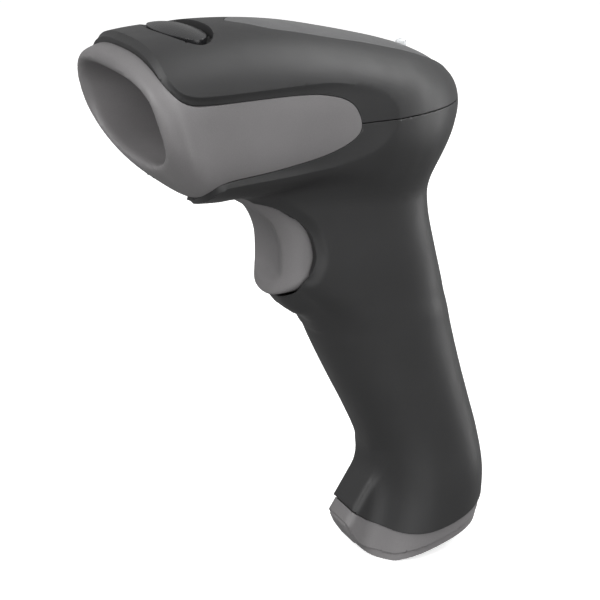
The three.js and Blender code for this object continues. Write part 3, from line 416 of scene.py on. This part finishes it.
def settle(places, fields, cell, creases=(), rounds=5):
    """Moves each corner onto the surfaces that meet near it, so that edges come out sharp.

    A crease is a function that is zero along a sharp line drawn on the first surface.
    """
    step = 0.02
    p = places.copy()
    checked = [*fields, *creases]
    for _ in range(rounds):
        values = np.stack([f(*p.T) for f in checked])
        slopes = np.empty((len(checked), len(p), 3))
        for axis in range(3):
            shift = np.zeros(3)
            shift[axis] = step
            for k, f in enumerate(checked):
                slopes[k, :, axis] = (f(*(p + shift).T) - f(*(p - shift).T)) / (2 * step)
        scale = np.linalg.norm(slopes, axis=2) + 1e-6
        values, slopes = values / scale, slopes / scale[..., None]
        solid = values[: len(fields)]
        near = solid > solid.max(0) - 0.6 * cell
        on_line = (np.abs(values[len(fields):]) < 0.55 * cell) & near[:1]
        weight = np.concatenate([near, on_line]).astype(float)
        normal = np.einsum("kn,kni,knj->nij", weight, slopes, slopes) + 0.02 * np.eye(3)
        pull = np.einsum("kn,kni,kn->ni", weight, slopes, values)
        move = -np.linalg.solve(normal, pull[..., None])[..., 0]
        length = np.linalg.norm(move, axis=1, keepdims=True)
        p += move * np.minimum(1, 0.5 * cell / (length + 1e-9))
    return p


def mesh_object(name, corners, faces):
    mesh = bpy.data.meshes.new(name)
    mesh.from_pydata((corners - GRIP_CENTRE) * MM, [], faces.tolist() if hasattr(faces, "tolist") else faces)
    mesh.validate()
    obj = bpy.data.objects.new(name, mesh)
    bpy.context.scene.collection.objects.link(obj)
    return obj


def finish_shading(obj, angle=32):
    obj.data.shade_smooth()
    obj.data.set_sharp_from_angle(angle=math.radians(angle))


def grid_solid(name, fields, low, high, cell, creases=()):
    """A mesh of the place where every field is negative. The body is the same on both sides of X = 0."""
    steps = [int(math.ceil((high[k] - low[k]) / cell)) + 1 for k in (1, 2)]
    across = int(math.ceil(high[0] / cell)) + 1
    x = (np.arange(across) * cell)[:, None, None]
    y = (low[1] + np.arange(steps[0]) * cell)[None, :, None]
    z = (low[2] + np.arange(steps[1]) * cell)[None, None, :]
    half = np.full((across, *steps), -1e9)
    for f in fields:
        half = np.maximum(half, f(x, y, z))
    values = np.concatenate([half[:0:-1], half])
    corners, faces = surface_net(values, np.array([-(across - 1) * cell, low[1], low[2]]), cell)
    corners = settle(corners, fields, cell, creases)
    obj = mesh_object(name, corners, faces)
    keep_largest(obj)
    finish_shading(obj)
    return obj


def keep_largest(obj):
    """Drops crumbs that a thin place leaves, and keeps the one body."""
    mesh = bmesh.new()
    mesh.from_mesh(obj.data)
    left = set(mesh.verts)
    groups = []
    while left:
        stack = [left.pop()]
        group = set(stack)
        while stack:
            for edge in stack.pop().link_edges:
                for vert in edge.verts:
                    if vert in left:
                        left.remove(vert)
                        group.add(vert)
                        stack.append(vert)
        groups.append(group)
    groups.sort(key=len)
    bmesh.ops.delete(mesh, geom=[v for g in groups[:-1] for v in g], context="VERTS")
    mesh.to_mesh(obj.data)
    mesh.free()


def drill(obj, cutter):
    """Takes the cutter's shape out of obj."""
    change = obj.modifiers.new("drill", "BOOLEAN")
    change.operation = "DIFFERENCE"
    change.solver = "EXACT"
    change.object = cutter
    made = bpy.data.meshes.new_from_object(obj.evaluated_get(bpy.context.evaluated_depsgraph_get()))
    obj.modifiers.clear()
    obj.data = made
    bpy.data.objects.remove(cutter)


# ---------------------------------------------------------------- the moulded parts



def nose_front(x, y, z):
    return SHELL_FRONT - station(HEAD, y, z, lean)


def banded_hull(x, y, z):
    return hull(x, y, z) + band_depth(y, z)


def ridge_line(x, y, z):
    return ridge(y, z) + 0 * x


def top_cover():
    def scoop(x, y, z):
        rim = radial(x / BADGE_SCOOP_HALF[0], (y - BADGE_Y) / BADGE_SCOOP_HALF[1], 1, 1, 2) * 9
        return np.minimum(-rim, z - SCOOP_FLOOR)

    def groove(x, y, z):
        return np.minimum(-inlay_plan(x, y), hull(x, y, z) + INLAY_GROOVE)

    fields = [
        banded_hull,
        lambda x, y, z: -(hull(x, y, z) + HULL_WALL),
        lambda x, y, z: SEAM_HEIGHT + SEAM / 2 - z,
        lambda x, y, z: PANEL_GAP - panel(y, z) + 0 * x,
        nose_front,
        scoop,
        groove,
        lambda x, y, z: upright_hole(x, y, COVER_HOLE) + 0 * z,
    ]
    return grid_solid("cover_shell", fields, (0, -58, 144), (29, 51, 172.5), 0.7, [ridge_line])


def lower_housing():
    def outside(x, y, z):
        return banded_hull(x, y, z) + pocket_dip(y, z)

    def slot(x, y, z):
        opening = np.maximum(np.abs(x) - SLOT_HALF_WIDTH, slot_bottom(x, SLOT_BOTTOM) - z)
        return -np.maximum(opening, y - SLOT_REAR)

    fields = [
        outside,
        lambda x, y, z: -(hull(x, y, z) + HULL_WALL),
        lambda x, y, z: z - SEAM_HEIGHT + SEAM / 2 + 0 * x,
        lambda x, y, z: PANEL_GAP - panel(y, z) + 0 * x,
        nose_front,
        lambda x, y, z: -pocket(y, z) + 0 * x,
        lambda x, y, z: above_cap(y, z) + SEAM + 0 * x,
        slot,
    ]
    return grid_solid("housing_shell", fields, (0, -58, 10), (29, 66, 147.5), 0.72, [ridge_line])


def nose_bezel():
    def funnel_void(x, y, z):
        return egg(FUNNEL, x, y, z, rake=lambda at: NOSE_RAKE + 0 * at)

    def outside(x, y, z):
        front = NOSE_FRONT - station(RIM, y, z, lean)
        skin = soft_max(egg(RIM, x, y, z), front, 2.5)
        return soft_max(skin, -funnel_void(x, y, z), 2.6)

    def skin_or_funnel(x, y, z):
        return np.minimum(panel(y, z) + 0 * x, funnel_void(x, y, z) - FUNNEL_WALL)

    def hollow(x, y, z):
        space = np.minimum(-(egg(RIM, x, y, z) + RIM_WALL), funnel_void(x, y, z) - FUNNEL_WALL)
        return np.minimum(space, station(RIM, y, z, lean) - RIM_CAVITY_FRONT)

    def throat_end(x, y, z):
        from_window = y - WINDOW_PLACE[0], z - WINDOW_PLACE[1]
        behind = from_window[0] * math.cos(WINDOW_TILT) + from_window[1] * math.sin(WINDOW_TILT)
        return np.minimum(behind + 2.1, THROAT_HALF_WIDTH - np.abs(x))

    fields = [outside, skin_or_funnel, hollow, throat_end]
    return grid_solid("nose_moulding", fields, (0, -60, 125), (33, 8, 171), 0.85)


def box_cutter(size):
    """A box around the cable socket's axis, square to the socket's face."""
    half = np.array(size) / 2
    corners = np.array([(a, b, c) for a in (-1, 1) for b in (-1, 1) for c in (-1, 1)]) * half
    turn = np.array(Matrix.Rotation(SOCKET_TILT, 3, "X"))
    faces = [(0, 1, 3, 2), (4, 6, 7, 5), (0, 4, 5, 1), (2, 3, 7, 6), (0, 2, 6, 4), (1, 5, 7, 3)]
    return mesh_object("cutter", corners @ turn.T + SOCKET_PLACE, faces)


def base_cap():
    def outside(x, y, z):
        return soft_max(hull(x, y, z) + CAP_INSET, above_butt(y, z) - CAP_DROP, 2.8)

    fields = [
        outside,
        lambda x, y, z: np.minimum(hull(x, y, z) + 1.3, above_butt(y, z) + CAP_FLOOR),
        lambda x, y, z: -above_cap(y, z) + 0 * x,
        lambda x, y, z: -np.maximum(hull(x, y, z) + WALL + 0.8, above_butt(y, z) + CAP_FLOOR),
    ]
    cap = grid_solid("cap_shell", fields, (0, 4, 1), (21, 68, 30), 0.7)
    for size in (SOCKET_HOLE, SOCKET_RECESS):
        drill(cap, box_cutter(size))
    finish_shading(cap)
    return cap


def trigger():
    def shape(x, y, z):
        depth = TRIGGER_REAR - section(TRIGGER, z, 1)
        ahead = np.minimum(y - TRIGGER_REAR, 0)
        face = radial(x, ahead, section(TRIGGER, z, 2), depth, section(TRIGGER, z, 3))
        return soft_max(face, slot_bottom(x, TRIGGER_BOTTOM) - z, 1.2)

    def scoop(x, y, z):
        depth = SCOOP_DEPTH * smooth_step((z - 97.5) / 5) * smooth_step((124.5 - z) / 7)
        return section(TRIGGER, z, 1) - 0.5 + depth - x * x / 58 - y

    def face(x, y, z):
        return soft_max(shape(x, y, z), scoop(x, y, z), 0.8)

    fields = [
        face,
        lambda x, y, z: y - TRIGGER_REAR + 0 * x,
        lambda x, y, z: trigger_top(y, z) + 0 * x,
        lambda x, y, z: -np.maximum(face(x, y, z) + TRIGGER_WALL, z - 121),
    ]
    return grid_solid("finger_trigger", fields, (0, -28, 91), (14, 3, 127.4), 0.42)


def top_inlay():
    fields = [
        lambda x, y, z: hull(x, y, z) + 0.7 * smooth_step((y - 28) / 14),
        lambda x, y, z: -(hull(x, y, z) + INLAY_THICKNESS),
        lambda x, y, z: inlay_plan(x, y) + 0.2 + 0 * z,
        lambda x, y, z: upright_hole(x, y, INLAY_HOLE) + 0 * z,
    ]
    return grid_solid("satin_inlay", fields, (0, -24, 146), (15, 46, 172.5), 0.6)


def badge():
    fields = [
        lambda x, y, z: radial(x / BADGE_HALF[0], (y - BADGE_Y) / BADGE_HALF[1], 1, 1, 2) * 8 + 0 * z,
        lambda x, y, z: z - BADGE_TOP + x * x / 150 + (y - BADGE_Y) ** 2 / 22,
        lambda x, y, z: BADGE_FLOOR - z + 0 * x + 0 * y,
    ]
    return grid_solid("badge_lens", fields, (0, -43, 167), (17.4, -28, 172.2), 0.35)


def light_pipe():
    def wall(x, y, z):
        return -upright_hole(x, y, LIGHT_PIPE_RADIUS) + 0 * z

    fields = [
        wall,
        lambda x, y, z: z - LIGHT_PIPE_TOP + (x * x + (y - LIGHT_PIPE_Y) ** 2) / 4,
        lambda x, y, z: LIGHT_PIPE_BOTTOM - z + 0 * x + 0 * y,
    ]
    return grid_solid("light_pipe_dome", fields, (0, 29, 151), (2.4, 34, 162.4), 0.2)


shells = {
    "top_cover": top_cover(),
    "lower_housing": lower_housing(),
    "nose_bezel": nose_bezel(),
    "base_cap": base_cap(),
    "trigger": trigger(),
    "top_inlay": top_inlay(),
    "badge_plate": badge(),
    "status_light_pipe": light_pipe(),
}

# ---------------------------------------------------------------- finishes

BEVEL_RADIUS = 0.35 * MM


class Nodes:
    """A small helper to build one procedural material."""

    def __init__(self, name):
        self.material = bpy.data.materials.new(name)
        self.material.use_nodes = True
        self.tree = self.material.node_tree
        self.shader = self.tree.nodes["Principled BSDF"]
        self.place = self.add("ShaderNodeTexCoord").outputs["Object"]

    def add(self, kind, **inputs):
        node = self.tree.nodes.new(kind)
        for name, value in inputs.items():
            self.feed(node.inputs[name.replace("_", " ")], value)
        return node

    def feed(self, socket, value):
        if isinstance(value, bpy.types.NodeSocket):
            self.tree.links.new(value, socket)
        else:
            socket.default_value = value

    def stretched(self, scale):
        mapping = self.add("ShaderNodeMapping", Vector=self.place)
        mapping.inputs["Scale"].default_value = scale
        return mapping.outputs["Vector"]

    def noise(self, size_mm, detail=3.0, stretch=(1, 1, 1)):
        """A cloudy pattern from 0 to 1 whose features are about size_mm long."""
        place = self.place if stretch == (1, 1, 1) else self.stretched(stretch)
        node = self.add("ShaderNodeTexNoise", Vector=place, Scale=1 / (size_mm * MM), Detail=detail)
        return node.outputs["Fac"]

    def ramp(self, value, low, high, to_low, to_high):
        node = self.add("ShaderNodeMapRange", Value=value)
        node.inputs["From Min"].default_value = low
        node.inputs["From Max"].default_value = high
        node.inputs["To Min"].default_value = to_low
        node.inputs["To Max"].default_value = to_high
        return node.outputs["Result"]

    def math(self, operation, a, b):
        node = self.tree.nodes.new("ShaderNodeMath")
        node.operation = operation
        self.feed(node.inputs[0], a)
        self.feed(node.inputs[1], b)
        return node.outputs[0]

    def blend(self, factor, a, b):
        node = self.tree.nodes.new("ShaderNodeMix")
        node.data_type = "RGBA"
        self.feed(node.inputs["Factor"], factor)
        self.feed(node.inputs["A"], a)
        self.feed(node.inputs["B"], b)
        return node.outputs["Result"]

    def edges(self):
        """Where a mould edge lies: 0 on flats and up to 1 on sharp edges, with the rounded normal. The
        finishes paint a lighter edge highlight with this mask.
        """
        bevel = self.add("ShaderNodeBevel")
        bevel.samples = 4
        bevel.inputs["Radius"].default_value = BEVEL_RADIUS
        normal = bevel.outputs["Normal"]
        geometry = self.add("ShaderNodeNewGeometry")
        dot = self.tree.nodes.new("ShaderNodeVectorMath")
        dot.operation = "DOT_PRODUCT"
        self.feed(dot.inputs[0], normal)
        self.feed(dot.inputs[1], geometry.outputs["Normal"])
        return normal, self.ramp(dot.outputs["Value"], 0.995, 0.85, 0.0, 1.0)

    def bump(self, height, distance_mm, normal=None):
        node = self.add("ShaderNodeBump", Height=height)
        node.inputs["Distance"].default_value = distance_mm * MM
        node.inputs["Strength"].default_value = 1.0
        if normal is not None:
            self.feed(node.inputs["Normal"], normal)
        return node.outputs["Normal"]


def tinted(colour, factor):
    return (*(min(1.0, c * factor) for c in colour[:3]), 1.0)


def moulded_plastic(name, colour, roughness, grain_mm, grain_height, edge_highlight_and_wear_level):
    """Plastic from a spark-eroded mould: fine grain, flow marks, a painted highlight along the edges in
    patches like wear, smoother where it is held.
    """
    n = Nodes(name)
    cloud = n.noise(22, 4)
    grain = n.noise(grain_mm, 2)
    flow = n.noise(7, 2, (1, 1, 0.25))
    base = n.blend(n.ramp(cloud, 0.3, 0.7, 0, 1), tinted(colour, 0.93), tinted(colour, 1.08))
    base = n.blend(n.ramp(grain, 0.35, 0.75, 0, 0.35), base, tinted(colour, 1.25))
    normal, edge = n.edges()
    # painted highlight along sharp edges, broken into patches like rubbed wear: it lightens the base colour
    # up to 1.7 times
    painted_edge_highlight_and_wear = n.math("MULTIPLY", edge, n.ramp(n.noise(3.5, 3), 0.35, 0.6, 0.15, edge_highlight_and_wear_level))
    base = n.blend(painted_edge_highlight_and_wear, base, tinted(colour, 1.7))
    handled = n.ramp(n.noise(30, 3), 0.45, 0.65, 0, 1)
    texture = n.math("ADD", n.math("MULTIPLY", grain, 0.5), flow)
    rough = n.ramp(texture, 0.4, 1.1, roughness + 0.07, roughness - 0.05)
    rough = n.math("SUBTRACT", rough, n.math("MULTIPLY", handled, 0.04))
    n.feed(n.shader.inputs["Base Color"], base)
    n.feed(n.shader.inputs["Roughness"], rough)
    n.shader.inputs["Specular IOR Level"].default_value = 0.38
    normal = n.bump(flow, 0.02, normal)
    n.feed(n.shader.inputs["Normal"], n.bump(grain, grain_height, normal))
    return n.material


def polished_plastic(name, colour, roughness, clear=0.0):
    """Smooth plastic with hairline scratches and a few soft smears."""
    n = Nodes(name)
    hairs = n.noise(0.35, 2, (1, 0.04, 0.3))
    smear = n.noise(6, 3)
    normal, edge = n.edges()
    base = n.blend(n.ramp(smear, 0.3, 0.7, 0, 1), tinted(colour, 0.95), tinted(colour, 1.1))
    # painted highlight: the base colour lightens along sharp edges
    n.feed(n.shader.inputs["Base Color"], n.blend(n.math("MULTIPLY", edge, 0.3), base, tinted(colour, 1.6)))
    texture = n.math("ADD", n.math("MULTIPLY", hairs, 0.6), smear)
    rough = n.ramp(texture, 0.5, 1.1, roughness, roughness + 0.12)
    n.feed(n.shader.inputs["Roughness"], rough)
    n.feed(n.shader.inputs["Normal"], n.bump(hairs, 0.002, normal))
    n.shader.inputs["Transmission Weight"].default_value = clear
    n.shader.inputs["IOR"].default_value = 1.49
    return n.material


def metal(name, colour, roughness, brush=(1, 1, 1), pits=0.0):
    """Metal with a brushed or cast surface and slightly tarnished patches."""
    n = Nodes(name)
    lines = n.noise(0.3, 3, brush)
    tarnish = n.noise(3, 3)
    normal, edge = n.edges()
    base = n.blend(n.ramp(tarnish, 0.35, 0.7, 0, 1), tinted(colour, 1.05), tinted(colour, 0.78))
    # painted highlight: the base colour lightens along sharp edges
    n.feed(n.shader.inputs["Base Color"], n.blend(n.math("MULTIPLY", edge, 0.5), base, tinted(colour, 1.35)))
    texture = n.math("ADD", lines, n.math("MULTIPLY", tarnish, 0.5))
    rough = n.ramp(texture, 0.4, 1.1, roughness - 0.06, roughness + 0.12)
    n.feed(n.shader.inputs["Roughness"], rough)
    n.feed(n.shader.inputs["Normal"], n.bump(lines, 0.004 + pits, normal))
    n.shader.inputs["Metallic"].default_value = 1.0
    return n.material


def circuit_board(name, colour):
    """Solder resist over copper tracks that run square to each other."""
    n = Nodes(name)
    tracks = n.add("ShaderNodeTexBrick", Vector=n.place, Scale=180.0)
    tracks.inputs["Mortar Size"].default_value = 0.09
    tracks.inputs["Mortar Smooth"].default_value = 0.3
    raised = tracks.outputs["Fac"]
    weave = n.noise(0.5, 2)
    base = n.blend(raised, tinted(colour, 0.9), tinted(colour, 1.9))
    n.feed(n.shader.inputs["Base Color"], n.blend(n.ramp(weave, 0.3, 0.7, 0, 0.4), base, tinted(colour, 0.7)))
    n.feed(n.shader.inputs["Roughness"], n.ramp(weave, 0.3, 0.7, 0.3, 0.5))
    n.feed(n.shader.inputs["Normal"], n.bump(weave, 0.01, n.bump(raised, 0.03)))
    return n.material


def wound_copper(name, colour):
    """Enamelled wire laid in turns."""
    n = Nodes(name)
    turns = n.add("ShaderNodeTexWave", Vector=n.place, Scale=620.0, Distortion=0.6).outputs["Fac"]
    n.feed(n.shader.inputs["Base Color"], n.blend(turns, tinted(colour, 0.35), tinted(colour, 1.1)))
    n.feed(n.shader.inputs["Roughness"], n.ramp(n.noise(0.8), 0.3, 0.7, 0.25, 0.45))
    n.feed(n.shader.inputs["Normal"], n.bump(turns, 0.08))
    n.shader.inputs["Metallic"].default_value = 1.0
    return n.material


COLOURS = {entry["slot"]: entry["base_color"] for entry in frame["record"]["materials"]}
COLOURS["shell"] = (0.024, 0.024, 0.0245)  # darker than the CAD slot, as in the photograph
FINISHES = {
    "shell": moulded_plastic("shell", COLOURS["shell"], 0.46, 0.28, 0.012, 0.45),
    "bezel": moulded_plastic("bezel", COLOURS["bezel"], 0.5, 0.28, 0.012, 0.35),
    "satin": moulded_plastic("satin", COLOURS["satin"], 0.34, 0.5, 0.004, 0.3),
    "gloss_black": polished_plastic("gloss_black", COLOURS["gloss_black"], 0.22),
    "black_plastic": moulded_plastic("black_plastic", COLOURS["black_plastic"], 0.45, 0.4, 0.01, 0.3),
    "clear_plastic": polished_plastic("clear_plastic", COLOURS["clear_plastic"], 0.2, 0.2),
    "window_plastic": polished_plastic("window_plastic", COLOURS["window_plastic"], 0.05, 0.6),
    "filter_plastic": polished_plastic("filter_plastic", COLOURS["filter_plastic"], 0.08),
    "rubber": moulded_plastic("rubber", COLOURS["rubber"], 0.75, 0.35, 0.02, 0.2),
    "board": circuit_board("board", COLOURS["board"]),
    "ribbon": polished_plastic("ribbon", COLOURS["ribbon"], 0.25),
    "zinc": metal("zinc", COLOURS["zinc"], 0.42, pits=0.03),
    "steel": metal("steel", COLOURS["steel"], 0.26, (1, 1, 0.08)),
    "brass": metal("brass", COLOURS["brass"], 0.28, (1, 0.1, 1)),
    "copper": wound_copper("copper", COLOURS["copper"]),
    "mirror": metal("mirror", COLOURS["mirror"], 0.07, (0.2, 0.2, 0.2)),
    "gold": metal("gold", COLOURS["gold"], 0.22, (0.2, 1, 1)),
}
SLOT_OF = {entry["node"]: entry["material_slot"] for entry in frame["record"]["subparts"]}

for node_name, node in frame["nodes"].items():
    for material_slot in node.material_slots:
        material_slot.material = FINISHES[SLOT_OF[node_name]]

BODY_OF = {"trigger": "trigger_lever"}
for node_name, piece in shells.items():
    piece.data.materials.clear()
    piece.data.materials.append(FINISHES[SLOT_OF[node_name]])
    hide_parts(node_name)
    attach(piece, BODY_OF.get(node_name, "scanner_body"))

# ---------------------------------------------------------------- floor, light and camera


def flat_sheet(name, half, height, colour, roughness):
    mesh = bpy.data.meshes.new(name)
    corners = [(x, y, height) for x, y in ((-half, -half), (half, -half), (half, half), (-half, half))]
    mesh.from_pydata(corners, [], [(0, 1, 2, 3)])
    sheet = bpy.data.objects.new(name, mesh)
    bpy.context.scene.collection.objects.link(sheet)
    n = Nodes(name)
    speck = n.noise(1.5, 3)
    n.feed(n.shader.inputs["Base Color"], n.blend(speck, tinted(colour, 0.97), tinted(colour, 1.02)))
    n.feed(n.shader.inputs["Roughness"], n.ramp(speck, 0.3, 0.7, roughness, roughness + 0.1))
    n.shader.inputs["Emission Color"].default_value = (1, 1, 1, 1)
    n.shader.inputs["Emission Strength"].default_value = 0.55
    mesh.materials.append(n.material)
    return sheet


FLOOR_HALF = 3.0
FLOOR_Z = CAD_BOX[0][2] - 0.0003
floor = flat_sheet("studio_floor", FLOOR_HALF, FLOOR_Z, (0.86, 0.86, 0.86), 0.7)
floor.visible_diffuse = False  # the glow that keeps the floor pale doesn't light the object from below
floor.visible_glossy = False

TARGET = Vector((0, -0.0333, 0.0278))
VIEW = (62, 21, 0.38)  # azimuth, elevation and distance of the camera
FOCAL_LENGTH, SENSOR_WIDTH = 80, 36


def aimed(obj, azimuth, elevation, distance):
    """Places a light or camera around the target. Azimuth 0 looks at the nose, 90 at the +X side."""
    az, el = math.radians(azimuth), math.radians(elevation)
    side = Vector((math.sin(az) * math.cos(el), -math.cos(az) * math.cos(el), math.sin(el)))
    obj.location = TARGET + side * distance
    obj.rotation_euler = (-side).to_track_quat("-Z", "Y").to_euler()


def soft_box(name, azimuth, elevation, distance, size, power):
    light = bpy.data.lights.new(name, "AREA")
    light.shape = "RECTANGLE"
    light.size, light.size_y = size
    light.energy = power
    lamp = bpy.data.objects.new(name, light)
    bpy.context.scene.collection.objects.link(lamp)
    aimed(lamp, azimuth, elevation, distance)


soft_box("key_box", 5, 40, 0.9, (0.6, 0.6), 5.5)
soft_box("side_fill", 72, 8, 1.0, (1.2, 1.2), 10.0)
soft_box("top_rear_box", 172, 55, 0.9, (0.8, 0.6), 4.2)
soft_box("rear_strip", 168, 15, 0.8, (0.3, 1.0), 4.0)

world = bpy.data.worlds.new("studio")
bpy.context.scene.world = world
world.use_nodes = True
sky = world.node_tree
direction = sky.nodes.new("ShaderNodeTexCoord")
split = sky.nodes.new("ShaderNodeSeparateXYZ")
glow = sky.nodes.new("ShaderNodeMapRange")  # a little dimmer below the horizon
sky.links.new(direction.outputs["Generated"], split.inputs[0])
sky.links.new(split.outputs["Z"], glow.inputs["Value"])
for socket, value in (("From Min", -0.3), ("From Max", 0.4), ("To Min", 0.3), ("To Max", 0.42)):
    glow.inputs[socket].default_value = value
sky.links.new(glow.outputs["Result"], sky.nodes["Background"].inputs["Strength"])
sky.nodes["Background"].inputs["Color"].default_value = (1, 1, 1, 1)
bpy.context.scene.view_settings.view_transform = "Standard"

lens = bpy.data.cameras.new("camera")
lens.lens = FOCAL_LENGTH
lens.sensor_width = SENSOR_WIDTH
lens.clip_start = 0.01
camera = bpy.data.objects.new("camera", lens)
bpy.context.scene.collection.objects.link(camera)
bpy.context.scene.camera = camera
aimed(camera, *VIEW)
